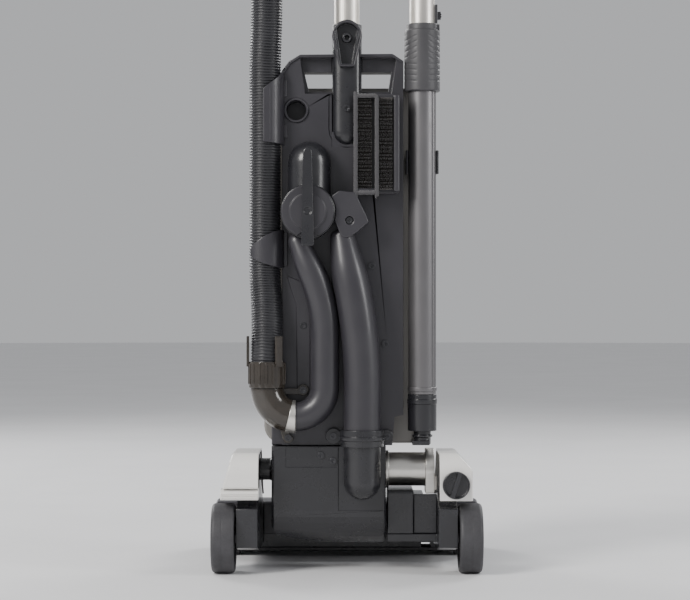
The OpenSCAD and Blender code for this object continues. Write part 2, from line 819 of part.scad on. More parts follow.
// Part of a ring about the hose, from angle a0 to a1
module clip_wall(z0, z1, a0, a1) {
    translate([clip_axis[0], clip_axis[1], 0])
        xy_prism(concat(arc([0, 0], 24, a0, a1, 14), arc([0, 0], 21, a1, a0, 14)), z0, z1);
}

module upper_hose_clip() {
    color(charcoal) difference() {
        union() {
            clip_wall(535, 630, -95, 0);
            box([-81, -103.5, 545], [-66, shell_y - gap, 562]);
            box([-81, -103.5, 597], [-76, shell_y - gap, 622]);
            for (z = [550, 566, 582, 598, 614]) clip_wall(z, z + 2, -95, -4);
        }
        translate([clip_axis[0], -160, 650]) rotate([0, 52, 0]) box([-60, 0, -60], [0, 70, 20]);
    }
}

module mid_hose_clip() {
    color(charcoal) {
        clip_wall(381, 429, -140, 0);
        box([-81, -103.5, 383], [-74.5, shell_y - gap, 427]);
    }
}

module body_screws() {
    color("dimgray") {
        for (p = shell_screws) screw(p[0], shell_y, p[1]);
        for (p = housing_screws) screw(p[0], housing_y + 0.8, p[1], 6);
        for (x = [-17, 50]) screw(x, -108, 170, 6.5);
        screw(-55, -108, 228, 6.5);
        screw(-74, -108, 168, 6.5);
        screw(3, -131, 440, 0);
        screw(0, -106.8, 582, 2.5);
    }
}

// ---------------------------------------------------------------- brush tool

tool_y = -107.5;        // face of the brush tool that lies on the body

module brush_tool() {
    color(charcoal) difference() {
        union() {
            xz_prism(rounded([8, 474], [66, 599], 5), tool_y - 9, tool_y);
            // Raised U frame, middle wall and right rim
            box([8.5, tool_y - 24, 475.5], [12, tool_y - 8, 597]);
            box([8.5, tool_y - 24, 593.5], [40, tool_y - 8, 597]);
            box([8.5, tool_y - 24, 475.5], [40, tool_y - 8, 479]);
            box([31, tool_y - 24, 484], [35.5, tool_y - 8, 589]);
            box([61, tool_y - 20, 475.5], [65.5, tool_y - 8, 597]);
            // Neck that plugs on to the wand, held on the shell
            y_rod(37, tool_y - 1, shell_y - gap, 536, 14);
        }
        box([36.5, tool_y - 10, 484], [41, tool_y + 4, 590]);
    }
}

module tool_bristles() {
    color("black") {
        box([12.6, tool_y - 27, 480], [30.4, tool_y - 9, 592]);
        box([43, tool_y - 27, 479], [60.4, tool_y - 9, 594]);
    }
}

// ---------------------------------------------------------------- wand

module wand_cradle() {
    color(near_black) {
        z_rod(wand_axis[0], wand_axis[1], 159, 205, 11);
        z_rod(wand_axis[0], wand_axis[1], 168, 171, 13);
        box([82, -108, 158.5], [104, parting_y - gap, 164]);
        // C clip higher up, fixed to the front shell
        difference() {
            union() {
                z_rod(wand_axis[0], wand_axis[1], 500, 530, 21);
                box([86, -76, 500], [104, parting_y - gap, 530]);
            }
            z_rod(wand_axis[0], wand_axis[1], 499, 531, lower_tube_r + gap);
            box([60, -120, 499], [130, -96, 531]);
        }
    }
}

module wand_cuff() {
    color(near_black) difference() {
        union() {
            z_rod(wand_axis[0], wand_axis[1], 176, 222, 18.2);
            z_rod(wand_axis[0], wand_axis[1], 210, 216, 18.8);
        }
        z_rod(wand_axis[0], wand_axis[1], 170, 223, 14);
    }
}

module wand_lower_tube() {
    color(charcoal) difference() {
        union() {
            z_rod(wand_axis[0], wand_axis[1], 222.1, 640, lower_tube_r);
            z_rod(wand_axis[0], wand_axis[1], 226, 231, lower_tube_r + 1);
        }
        z_rod(wand_axis[0], wand_axis[1], 220, 650, upper_tube_r + 0.08);
    }
}

module wand_collar() {
    color(near_black) difference() {
        union() {
            z_rod(wand_axis[0], wand_axis[1], 604, 681, 22.5);
            z_rod(wand_axis[0], wand_axis[1], 681, 689, 20);
            for (z = [612, 624, 636, 648, 660]) z_rod(wand_axis[0], wand_axis[1], z, z + 4, 23.1);
            box([108, -97, 676], [117, -87, 689]);
            // Tongue that carries the release button
            box([wand_axis[0] + upper_tube_r + 0.4, -96, 688], [114.3, -88, 714]);
        }
        z_rod(wand_axis[0], wand_axis[1], 600, 640.2, lower_tube_r);
        z_rod(wand_axis[0], wand_axis[1], 640, 700, upper_tube_r + 0.08);
    }
}

module wand_upper_tube() {
    color(satin) pipe(wand_axis[0], wand_axis[1], 265, hand_z, upper_tube_r, upper_tube_r - 1.2);
}

module wand_button() {
    color(near_black) {
        box([114.6, -95, 695], [118.5, -89, 705]);
        box([118, -95, 698], [119.5, -89, 699.5]);
        box([118, -95, 701], [119.5, -89, 702.5]);
    }
}

hand_z = 745;           // lower end of the handpiece
hand_bend_r = 60;
hand_tilt = 45;

module wand_handpiece() {
    color(near_black) {
        pipe(wand_axis[0], wand_axis[1], hand_z, hand_z + 15, 20.4, 15.4);
        bend([wand_axis[0] + hand_bend_r, hand_z + 15], wand_axis[1], hand_bend_r,
            180 - hand_tilt, 180, 19.5, 14.8);
    }
}

module hose_end_cuff() {
    end_x = wand_axis[0] + hand_bend_r * (1 - cos(hand_tilt));
    end_z = hand_z + 15 + hand_bend_r * sin(hand_tilt);
    color(smoke) translate([end_x, wand_axis[1], end_z]) rotate([0, hand_tilt, 0]) difference() {
        union() {
            translate([0, 0, 0.3]) cylinder(h = 38, r = 22.5);
            for (i = [0:15]) rotate([0, 0, i * 22.5]) box([21, -1.6, 5], [23.6, 1.6, 34]);
        }
        translate([0, 0, 27.5]) cylinder(h = 14, r = hose_r + 0.8);
        translate([0, 0, -1]) cylinder(h = 40, r = 16);
    }
}

head_chassis();
nozzle_cover();
sole_plate();
bumper();
left_cover();
right_cover();
pivot_bracket();
brush_motor();
motor_pulley();
drive_belt();
brush_roller();
brush_bristles();
wheel_left();
wheel_right();
wheel_axles();
release_pedal();
height_knob();
front_roller_left();
front_roller_right();
motor_housing();
swivel_tube();
suction_motor();
motor_fan();
motor_filter();
rear_shell();
front_shell();
bag_door();
door_latch();
filter_bag();
exhaust_filter();
handle_socket();
handle_tube();
handle_grip();
power_switch();
hose_hook();
diverter_housing();
diverter_dial();
diverter_lever();
port_block();
left_duct();
right_duct();
duct_clamp();
duct_boot();
elbow();
elbow_band();
hose_cuff();
hose();
upper_hose_clip();
mid_hose_clip();
body_screws();
brush_tool();
tool_bristles();
wand_cradle();
wand_lower_tube();
wand_collar();
wand_cuff();
wand_upper_tube();
wand_button();
wand_handpiece();
hose_end_cuff();
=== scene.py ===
"""Upright vacuum cleaner: rounded mouldings, ribbed hose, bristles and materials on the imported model."""

import json
import math
import random

import bmesh
import bpy
import numpy as np
from mathutils import Matrix, Vector


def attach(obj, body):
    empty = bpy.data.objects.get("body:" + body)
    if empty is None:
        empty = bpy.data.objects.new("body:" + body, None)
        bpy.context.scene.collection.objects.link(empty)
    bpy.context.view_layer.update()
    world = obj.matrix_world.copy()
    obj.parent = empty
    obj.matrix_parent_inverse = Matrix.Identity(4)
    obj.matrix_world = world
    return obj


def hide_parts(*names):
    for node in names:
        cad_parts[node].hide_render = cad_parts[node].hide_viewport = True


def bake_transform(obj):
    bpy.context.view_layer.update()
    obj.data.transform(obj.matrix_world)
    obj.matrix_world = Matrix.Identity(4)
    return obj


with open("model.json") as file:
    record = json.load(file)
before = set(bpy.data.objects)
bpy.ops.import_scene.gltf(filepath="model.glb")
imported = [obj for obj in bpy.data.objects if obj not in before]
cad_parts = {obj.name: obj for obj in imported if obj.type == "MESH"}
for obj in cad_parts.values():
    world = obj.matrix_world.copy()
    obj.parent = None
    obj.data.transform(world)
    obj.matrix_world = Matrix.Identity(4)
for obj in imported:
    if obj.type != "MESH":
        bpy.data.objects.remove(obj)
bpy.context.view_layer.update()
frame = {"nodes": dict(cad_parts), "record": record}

MM = 0.001
RECORD = frame["record"]
BODY_OF = {node: body for body, nodes in RECORD["behaviour"]["bodies"].items() for node in nodes}
SLOT_OF = {part["node"]: part["material_slot"] for part in RECORD["subparts"]}

# ---------------------------------------------------------------- camera


def make_camera():
    """Level camera behind the machine, at the height of its diverter."""
    data = bpy.data.cameras.new("camera")
    data.lens = 108.5
    data.sensor_width = 36
    camera = bpy.data.objects.new("camera", data)
    camera.location = (-0.0025, -2.72, 0.341)
    camera.rotation_euler = (math.radians(90), 0, 0)
    bpy.context.scene.collection.objects.link(camera)
    bpy.context.scene.camera = camera


make_camera()

# ---------------------------------------------------------------- materials

EDGE_START = 0.52  # pointiness at which an edge starts to look worn
EDGE_REACH = 0.09  # further pointiness to full wear
STREAK_DEPTH = 0.00001  # relief of brushed metal, metres


class Shader:
    """A Principled material whose textures are laid out in the object's own coordinates, in metres."""

    def __init__(self, name, **constants):
        self.material = bpy.data.materials.new(name)
        self.material.use_nodes = True
        self.tree = self.material.node_tree
        self.shader = self.tree.nodes["Principled BSDF"]
        for socket, value in constants.items():
            self.shader.inputs[socket.replace("_", " ")].default_value = value
        self.place = self.add("ShaderNodeTexCoord").outputs["Object"]

    def add(self, kind, **settings):
        node = self.tree.nodes.new(kind)
        for key, value in settings.items():
            setattr(node, key, value)
        return node

    def link(self, source, target):
        self.tree.links.new(source, target)

    def noise(self, scale, detail=3, stretch=(1, 1, 1), rough=0.55):
        """Noise whose grain is 1/scale metres, stretched along the axes."""
        mapping = self.add("ShaderNodeMapping")
        mapping.inputs["Scale"].default_value = stretch
        self.link(self.place, mapping.inputs["Vector"])
        node = self.add("ShaderNodeTexNoise")
        node.inputs["Scale"].default_value = scale
        node.inputs["Detail"].default_value = detail
        node.inputs["Roughness"].default_value = rough
        self.link(mapping.outputs["Vector"], node.inputs["Vector"])
        return node.outputs["Fac"]

    def ramp(self, value, stops):
        """Colour ramp over value; stops are (position, grey or colour)."""
        node = self.add("ShaderNodeValToRGB")
        elements = node.color_ramp.elements
        while len(elements) < len(stops):
            elements.new(0.5)
        for element, (position, colour) in zip(elements, stops):
            element.position = position
            element.color = (*colour, 1) if hasattr(colour, "__len__") else (colour, colour, colour, 1)
        self.link(value, node.inputs["Fac"])
        return node.outputs["Color"]

    def mix(self, share, a, b, mode="MIX"):
        """Mixes colours a and b; share is a number or a socket, each colour a triple or a socket."""
        node = self.add("ShaderNodeMix", data_type="RGBA", blend_type=mode)
        # The colour sockets of a Mix node share their names with its float and vector sockets
        colours = {i.name: i for i in node.inputs if i.type == "RGBA"}
        for socket, value in ((node.inputs["Factor"], share), (colours["A"], a), (colours["B"], b)):
            if isinstance(value, bpy.types.NodeSocket):
                self.link(value, socket)
            else:
                socket.default_value = (*value, 1) if hasattr(value, "__len__") else value
        return next(o for o in node.outputs if o.type == "RGBA")

    def colour(self, value):
        """Links value to the base colour."""
        self.link(value, self.shader.inputs["Base Color"])

    def roughness(self, low, high, scale=45):
        """Roughness that drifts between low and high."""
        drift = self.ramp(self.noise(scale), [(0.3, low), (0.7, high)])
        self.link(drift, self.shader.inputs["Roughness"])

    def bump(self, height, depth, strength):
        """Relief of depth metres."""
        node = self.add("ShaderNodeBump")
        node.inputs["Strength"].default_value = strength
        node.inputs["Distance"].default_value = depth
        self.link(height, node.inputs["Height"])
        self.link(node.outputs["Normal"], self.shader.inputs["Normal"])

    def worn_edges(self, base, lighter, amount):
        """Edges rubbed lighter, broken up by noise."""
        geometry = self.add("ShaderNodeNewGeometry")
        wear = [(EDGE_START, 0.0), (EDGE_START + EDGE_REACH, 1.0)]
        edge = self.ramp(geometry.outputs["Pointiness"], wear)
        patchy = self.ramp(self.noise(130, 4), [(0.42, 0.0), (0.68, amount)])
        share = self.mix(1.0, edge, patchy, "MULTIPLY")
        return self.mix(share, base, lighter)


def scaled(colour, factor):
    """The colour times factor, up to full brightness."""
    return tuple(min(1, c * factor) for c in colour)


def plastic(name, colour, rough, grain=1600, depth=0.00006, spread=0.12, wear=0.35, coat=0.0):
    """Injection moulding: sparked grain, faint flow mottling and rubbed edges."""
    s = Shader(name, Specular_IOR_Level=0.5, Coat_Weight=coat, Coat_Roughness=0.12)
    mottled = s.ramp(s.noise(22, 5), [(0.3, scaled(colour, 1 - spread)), (0.7, scaled(colour, 1 + spread))])
    darker, brighter = scaled(colour, 1 - spread / 2), scaled(colour, 1 + spread)
    fine = s.ramp(s.noise(grain, 2), [(0.35, darker), (0.65, brighter)])
    base = s.mix(0.45, mottled, fine)
    s.colour(s.worn_edges(base, scaled(colour, 2.2), amount=wear))
    s.roughness(rough - 0.05, rough + 0.07)
    s.bump(s.noise(grain, 2), depth, 0.6)
    return s.material


def brushed(name, colour, rough, stretch=(1, 1, 0.03), metallic=1.0):
    """Metal with fine streaks along one axis."""
    s = Shader(name, Metallic=metallic, Anisotropic=0.3)
    streaks = s.noise(1500, 3, stretch)
    tone = s.ramp(streaks, [(0.3, scaled(colour, 0.94)), (0.7, scaled(colour, 1.05))])
    cloud = s.ramp(s.noise(14, 4), [(0.3, scaled(colour, 0.95)), (0.7, scaled(colour, 1.03))])
    s.colour(s.worn_edges(s.mix(0.4, tone, cloud), scaled(colour, 1.2), amount=0.2))
    s.roughness(rough - 0.03, rough + 0.04, 30)
    s.bump(streaks, STREAK_DEPTH, 0.3)
    return s.material


def translucent(name, colour, rough):
    """Smoke tinted clear moulding."""
    s = Shader(name, IOR=1.5, Transmission_Weight=0.35, Coat_Weight=0.3, Coat_Roughness=0.08)
    s.colour(s.ramp(s.noise(30, 4), [(0.3, scaled(colour, 0.7)), (0.7, scaled(colour, 1.25))]))
    s.roughness(rough - 0.04, rough + 0.08, 60)
    s.bump(s.noise(700, 2), 0.00005, 0.5)
    return s.material


def pearl_plastic(name, colour):
    """Pearl white moulding: fine bright flecks under a clear skin."""
    s = Shader(name, Coat_Weight=0.45, Coat_Roughness=0.1, Specular_IOR_Level=0.55)
    flecks = s.ramp(s.noise(5200, 1), [(0.4, scaled(colour, 0.95)), (0.66, scaled(colour, 1.06))])
    mottled = s.ramp(s.noise(16, 4), [(0.3, scaled(colour, 0.96)), (0.7, scaled(colour, 1.02))])
    scuffs = s.ramp(s.noise(60, 6, (1, 1, 0.25), 0.7), [(0.6, 0.0), (0.78, 0.25)])
    s.colour(s.mix(scuffs, s.mix(0.5, flecks, mottled), scaled(colour, 0.8)))
    s.roughness(0.26, 0.38, 55)
    s.bump(s.noise(2600, 2), 0.00003, 0.5)
    return s.material


def rubber_skin(name, colour, rough, grain=900, coat=0.0):
    """Rubber or soft plastic with dust in patches."""
    s = Shader(name, Specular_IOR_Level=0.45, Coat_Weight=coat, Coat_Roughness=0.2)
    dust = s.ramp(s.noise(35, 6, rough=0.7), [(0.45, 0.0), (0.8, 0.35)])
    tone = s.ramp(s.noise(grain, 3), [(0.3, scaled(colour, 0.8)), (0.7, scaled(colour, 1.2))])
    s.colour(s.worn_edges(s.mix(dust, tone, scaled(colour, 2.4)), scaled(colour, 2.4), amount=0.4))
    s.roughness(rough - 0.06, rough + 0.1, 60)
    s.bump(s.noise(grain, 3), 0.00008, 0.5)
    return s.material


def fibres(name, colour, stretch, scale=900, sheen=0.4, depth=0.0003):
    """Hair, fleece or paper: streaky colour and relief."""
    s = Shader(name, Sheen_Weight=sheen, Sheen_Roughness=0.45, Specular_IOR_Level=0.3)
    strands = s.noise(scale, 5, stretch, 0.7)
    tone = s.ramp(strands, [(0.3, scaled(colour, 0.6)), (0.7, scaled(colour, 1.35))])
    patches = s.ramp(s.noise(40, 4), [(0.35, scaled(colour, 0.85)), (0.7, scaled(colour, 1.1))])
    s.colour(s.mix(0.4, tone, patches))
    s.roughness(0.7, 0.92, 80)
    s.bump(strands, depth, 0.6)
    return s.material


MATERIALS = {
    "grip": plastic("grip", (0.050, 0.049, 0.053), 0.46, wear=0.1),
    "pearl": pearl_plastic("pearl", (0.80, 0.785, 0.755)),
    "charcoal": plastic("charcoal", (0.029, 0.0275, 0.033), 0.38, coat=0.12),
    "black": plastic("black", (0.016, 0.016, 0.019), 0.28, depth=0.00004, coat=0.2),
    "silver": plastic("silver", (0.20, 0.19, 0.178), 0.34, grain=3600, depth=0.00003, spread=0.08, wear=0.15,
                      coat=0.2),
    "satin": brushed("satin", (0.74, 0.72, 0.68), 0.34, (0.03, 1, 1)),
    "tube": brushed("tube", (0.66, 0.63, 0.585), 0.36),
    "graphite": brushed("graphite", (0.17, 0.165, 0.17), 0.38, metallic=0.75),
    "smoke": translucent("smoke", (0.050, 0.041, 0.033), 0.16),
    "steel": brushed("steel", (0.33, 0.33, 0.35), 0.30, (1, 0.05, 1)),
    "dark_steel": brushed("dark_steel", (0.075, 0.075, 0.08), 0.34, (1, 0.3, 1)),
    "tyre": rubber_skin("tyre", (0.042, 0.041, 0.045), 0.52),
    "rubber": rubber_skin("rubber", (0.022, 0.022, 0.024), 0.6),
    "hose": rubber_skin("hose", (0.020, 0.020, 0.023), 0.40, grain=1500, coat=0.1),
    "bristle": fibres("bristle", (0.050, 0.045, 0.042), (1, 0.08, 1), 2200, depth=0.0001),
    "velour": fibres("velour", (0.062, 0.060, 0.064), (1, 1, 1), 1300, sheen=0.5, depth=0.0006),
    "bag": fibres("bag", (0.72, 0.69, 0.60), (1, 1, 1), 1100, sheen=0.3, depth=0.0004),
    "filter": fibres("filter", (0.80, 0.79, 0.74), (1, 1, 0.4), 700, sheen=0.2, depth=0.0003),
    "motor": brushed("motor", (0.36, 0.36, 0.38), 0.36, (0.05, 1, 1)),
    "switch": plastic("switch", (0.36, 0.03, 0.025), 0.33, coat=0.3, wear=0.2),
}

# ---------------------------------------------------------------- mesh helpers


def finished(bm, name, angle=40):
    """Mesh from bm with smooth faces and sharp edges over the angle."""
    bmesh.ops.recalc_face_normals(bm, faces=bm.faces)
    mesh = bpy.data.meshes.new(name)
    bm.to_mesh(mesh)
    bm.free()
    mesh.shade_smooth()
    mesh.set_sharp_from_angle(angle=math.radians(angle))
    return mesh


def add_piece(name, mesh, slot, body=None, replaces=(), weighted=True, look=None):
    """A shown piece; with a body it rides on it. look names its material where that is not the slot's own."""
    piece = bpy.data.objects.new(name, mesh)
    bpy.context.scene.collection.objects.link(piece)
    mesh.materials.clear()
    mesh.materials.append(MATERIALS[look or slot])
    if weighted:
        modifier = piece.modifiers.new("even_shading", "WEIGHTED_NORMAL")
        modifier.keep_sharp = True
    if body:
        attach(piece, body)
    if replaces:
        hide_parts(*replaces)
    return piece


def round_edges(bm, width, segments=2, limit=32, where=None):
    """Rounds by width millimetres the edges sharper than limit degrees whose middle satisfies
    where(x, y, z), in millimetres."""
    chosen = []
    for edge in bm.edges:
        if len(edge.link_faces) != 2 or edge.calc_face_angle(0) < math.radians(limit):
            continue
        middle = (edge.verts[0].co + edge.verts[1].co) / 2 / MM
        if where is None or where(*middle):
            chosen.append(edge)
    bmesh.ops.bevel(bm, geom=chosen, offset=width * MM, offset_type="OFFSET", segments=segments,
                    profile=0.5, affect="EDGES", clamp_overlap=False, loop_slide=True)


def node_bmesh(node):
    """The CAD node's mesh with its triangles joined into flat faces."""
    bm = bmesh.new()
    bm.from_mesh(frame["nodes"][node].data)
    bmesh.ops.remove_doubles(bm, verts=bm.verts, dist=2e-6)
    bmesh.ops.dissolve_limit(bm, angle_limit=math.radians(0.3), verts=bm.verts, edges=bm.edges)
    return bm


def join(bm, *others):
    """Adds the other meshes to bm."""
    for other in others:
        mesh = bpy.data.meshes.new("part")
        other.to_mesh(mesh)
        other.free()
        bm.from_mesh(mesh)
        bpy.data.meshes.remove(mesh)
    return bm


LARGE_FACE = 0.0004  # square metres above which a face is shaded flat
SQUARE = 0.9999  # share of a face's normal along one axis above which it is shaded flat
MERGE = 1e-5  # metres under which a rounded node's points are merged


def rounded_node(node, rim=0.6, segments=2, big=(), extra=(), look=None):
    """Stands for a CAD node with its edges rounded; big holds (width, segments, where) done first."""
    bm = node_bmesh(node)
    for width, count, where in big:
        round_edges(bm, width, count, 32, where)
    round_edges(bm, rim, segments)
    bmesh.ops.remove_doubles(bm, verts=bm.verts, dist=MERGE)
    bmesh.ops.dissolve_degenerate(bm, dist=MERGE, edges=bm.edges)
    many_sided = [face for face in bm.faces if len(face.verts) > 4]
    bmesh.ops.triangulate(bm, faces=many_sided, ngon_method="BEAUTY")
    join(bm, *extra)
    mesh = finished(bm, node)
    for polygon in mesh.polygons:
        if polygon.area > LARGE_FACE or max(abs(c) for c in polygon.normal) > SQUARE:
            polygon.use_smooth = False
    return add_piece(node + "_shell", mesh, SLOT_OF[node], BODY_OF[node], [node], look=look)


def arc(cx, cy, radius, start, end, count=8):
    """Points in millimetres of an arc, from angle start to end in degrees."""
    turns = [math.radians(start + (end - start) * i / count) for i in range(count + 1)]
    return [(cx + radius * math.cos(turn), cy + radius * math.sin(turn)) for turn in turns]


def prism(outline, low, high, plane="xz"):
    """Closed outline in millimetres, extruded from low to high along the plane's normal."""
    def place(a, b, c):
        return {"xz": (a, c, b), "yz": (c, a, b), "xy": (a, b, c)}[plane]

    bm = bmesh.new()
    ends = [[bm.verts.new(Vector(place(a, b, c)) * MM) for a, b in outline] for c in (low, high)]
    for ring in ends:
        bm.faces.new(ring)
    count = len(outline)
    for i in range(count):
        j = (i + 1) % count
        bm.faces.new((ends[0][i], ends[0][j], ends[1][j], ends[1][i]))
    bmesh.ops.recalc_face_normals(bm, faces=bm.faces)
    return bm


def slab(outline, low, high, rim, plane="xz", segments=3):
    """Prism with rounded edges."""
    bm = prism(outline, low, high, plane)
    round_edges(bm, rim, segments)
    return bm


def grid_faces(bm, rows, wrap_rows=False, wrap_columns=True):
    """Quads between rows of vertices."""
    row_count = len(rows) if wrap_rows else len(rows) - 1
    width = len(rows[0])
    for i in range(row_count):
        upper, lower = rows[i], rows[(i + 1) % len(rows)]
        for k in range(width if wrap_columns else width - 1):
            n = (k + 1) % width
            bm.faces.new((upper[k], upper[n], lower[n], lower[k]))


def lathe(profile, centre, axis="z", sides=72, wave=None):
    """Turns a closed profile of (radius, height) points in millimetres about an axis through centre;
    wave(angle, height, radius) is added to the radius."""
    turn = {"z": lambda x, y, h: (x, y, h),
            "x": lambda x, y, h: (h, x, y),
            "y": lambda x, y, h: (x, h, y)}[axis]
    bm = bmesh.new()
    rows = []
    for radius, height in profile:
        row = []
        for k in range(sides):
            angle = 2 * math.pi * k / sides
            r = radius + (wave(angle, height, radius) if wave else 0)
            point = Vector(turn(r * math.cos(angle), r * math.sin(angle), height)) + Vector(centre)
            row.append(bm.verts.new(point * MM))
        rows.append(row)
    grid_faces(bm, rows, wrap_rows=True)
    bmesh.ops.remove_doubles(bm, verts=bm.verts, dist=1e-7)
    bmesh.ops.dissolve_degenerate(bm, dist=1e-8, edges=bm.edges)
    return bm


def smooth_path(points, step):
    """Evenly spaced points on a smooth curve through the given points, and their directions."""
    p = np.array(points, float)
    p = np.vstack([2 * p[0] - p[1], p, 2 * p[-1] - p[-2]])
    t = np.linspace(0, 1, 40, endpoint=False)[:, None]
    dense = [0.5 * (2 * b + (c - a) * t + (2 * a - 5 * b + 4 * c - d) * t**2 + (3 * b - a - 3 * c + d) * t**3)
             for a, b, c, d in zip(p[:-3], p[1:-2], p[2:-1], p[3:])]
    dense = np.vstack(dense + [p[-2][None]])
    along = np.concatenate([[0], np.cumsum(np.linalg.norm(np.diff(dense, axis=0), axis=1))])
    where = np.linspace(0, along[-1], round(along[-1] / step) + 1)
    even = np.stack([np.interp(where, along, dense[:, i]) for i in range(3)], 1)
    direction = np.gradient(even, axis=0)
    return even, direction / np.linalg.norm(direction, axis=1)[:, None], where


def sweep(path, direction, radii):
    """Tube about a path; radii[i][k] is the radius at point i and side k, in the path's units."""
    side = np.cross(direction[0], (0, 1, 0))
    side /= np.linalg.norm(side)
    bm = bmesh.new()
    rows = []
    for point, ahead, ring in zip(path, direction, radii):
        side = side - ahead * side.dot(ahead)
        side /= np.linalg.norm(side)
        up = np.cross(ahead, side)
        angles = np.linspace(0, 2 * math.pi, len(ring), endpoint=False)
        rows.append([bm.verts.new(point + r * (math.cos(a) * side + math.sin(a) * up))
                     for a, r in zip(angles, ring)])
    grid_faces(bm, rows)
    bm.faces.new(rows[0])
    bm.faces.new(rows[-1])
    return bm


# ---------------------------------------------------------------- hose

HOSE_ROUTE = [
    (-0.100, -0.121, 0.242), (-0.100, -0.121, 0.272), (-0.100, -0.114, 0.305), (-0.101, -0.106, 0.340),
    (-0.103, -0.102, 0.375), (-0.103, -0.102, 0.435), (-0.103, -0.102, 0.500), (-0.103, -0.102, 0.570),
    (-0.103, -0.102, 0.635), (-0.101, -0.105, 0.700), (-0.102, -0.110, 0.770), (-0.107, -0.115, 0.830),
    (-0.111, -0.121, 0.885), (-0.113, -0.126, 0.939), (-0.102, -0.129, 0.996), (-0.069, -0.130, 1.045),
    (-0.020, -0.130, 1.078), (0.037, -0.130, 1.089), (0.094, -0.127, 1.078), (0.143, -0.120, 1.045),
    (0.176, -0.112, 0.996), (0.187, -0.104, 0.939), (0.176, -0.097, 0.882), (0.143, -0.092, 0.833),
    (0.132, -0.092, 0.822)]
HOSE_RADIUS = 0.020
HOSE_PITCH = 0.0036
HOSE_GROOVE = 0.0015
HOSE_SIDES = 28
SAMPLES_PER_TURN = 8


def make_hose():
    """Wire-wound stretch hose: rounded turns with narrow grooves along the whole route."""
    path, direction, along = smooth_path(HOSE_ROUTE, HOSE_PITCH / SAMPLES_PER_TURN)
    phase = along[:, None] / HOSE_PITCH + np.arange(HOSE_SIDES)[None] / HOSE_SIDES
    ridge = (0.5 + 0.5 * np.cos(2 * math.pi * phase)) ** 0.5
    bm = sweep(path, direction, HOSE_RADIUS - HOSE_GROOVE * (1 - ridge))
    hose = add_piece("stretch_hose", finished(bm, "stretch_hose", 75), "hose", replaces=["hose"],
                     weighted=False)
    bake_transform(hose)


make_hose()

# ---------------------------------------------------------------- head

WHEEL_Y, WHEEL_Z = -120, 43.5  # rear axle, millimetres
SPOKES = 8
SPOKE_FACE = 141.5  # distance of the spokes' outer ends from the middle of the machine
FRONT_ROLLER = (150, 68, 13)  # centre of the right front roller
BRUSH_AXIS = Vector((0, 118, 32))


def wheel(name, side):
    """Rubber-tyred wheel: grooved tread, dished inner face and domed hub cap."""
    face = [(0, 170), (9, 170), (18, 169.8), (28, 169.2), (33, 168.6), (33.8, 167.6), (35, 167.6),
            (35.8, 168.6)]
    shoulder = arc(38.5, 163.6, 5, 90, 0, 6)
    tread = [(43.5, 160), (43.5, 155.6), (43.2, 155.3), (43.2, 154.9), (43.5, 154.6), (43.5, 144.5),
             (42.9, 141.6), (41, 139.6)]
    inner = [(37.5, 139.6), (36.4, 140.4), (36, 142), (36, 152.5), (35, 153.5), (13, 153.5), (12, 152.5),
             (12, 140.2), (11.4, 139.6), (6.1, 139.6), (6.1, 164), (0, 164)]
    profile = [(r, side * h) for r, h in face + shoulder + tread + inner]
    parts = [lathe(profile, (0, WHEEL_Y, WHEEL_Z), "x", 96)]
    facing = Matrix.Rotation(math.radians(90 * side), 4, "Y")
    for i in range(SPOKES):
        spoke = prism([(12.5, -1), (36.5, -1), (36.5, 1), (12.5, 1)], 0, 12, "xy")
        spoke.transform(Matrix.Rotation(math.radians(i * 360 / SPOKES), 4, "X") @ facing)
        spoke.transform(Matrix.Translation(Vector((side * SPOKE_FACE, WHEEL_Y, WHEEL_Z)) * MM))
        parts.append(spoke)
    bm = join(parts[0], *parts[1:])
    add_piece(name + "_tyre", finished(bm, name, 50), "tyre", name, [name])


wheel("wheel_left", -1)
wheel("wheel_right", 1)


def front_roller(name, side):
    """Front roller with a groove round its tread."""
    half = [(0, 14), (2.4, 14), (3, 13.4), (3, 7.6), (10.8, 7.6), (12.4, 6.8), (13, 5), (13, 2.4),
            (12.5, 1.9)]
    profile = half + [(r, -h) for r, h in reversed(half)]
    x, y, z = FRONT_ROLLER
    bm = lathe(profile, (side * x, y, z), "x", 48)
    add_piece(name + "_tread", finished(bm, name, 50), "tyre", name, [name])


front_roller("front_roller_left", -1)
front_roller("front_roller_right", 1)


def leg_cover(node, inner):
    """Pearl cover with softly rounded upper edges, but for those of its inner side at X = inner."""
    def shoulder(x, y, z):
        return abs(x - inner) > 1 and z > 97 and y < 41

    rounded_node(node, 0.6, 2, [(2.4, 4, shoulder)])


leg_cover("left_cover", -110)
leg_cover("right_cover", 115)
rounded_node("head_chassis", 1.0)
rounded_node("nozzle_cover", 1.0, 2, [(4.0, 4, lambda x, y, z: abs(x) > 174 and z > 31)])
rounded_node("sole_plate", 0.8)
rounded_node("bumper", 1.6, 3)
rounded_node("pivot_bracket", 0.8, look="satin")
rounded_node("brush_motor", 1.2)
rounded_node("motor_pulley", 0.3)
rounded_node("drive_belt", 0.4)
rounded_node("brush_roller", 1.0)
rounded_node("wheel_axles", 0.8)
rounded_node("release_pedal", 0.5)
rounded_node("height_knob", 0.9, 3)

# ---------------------------------------------------------------- bristles

TOOL_FOOT, TOOL_TIP, TOOL_STEP = -117.5, -133.4, 1.5  # the brush tool's hairs along Y, and their spacing
TUFT_ROWS = 4
HAIRS_PER_TUFT = 9
BELT_X, BELT_GAP = 105, 11  # where the belt runs on the roller, and half the room it takes


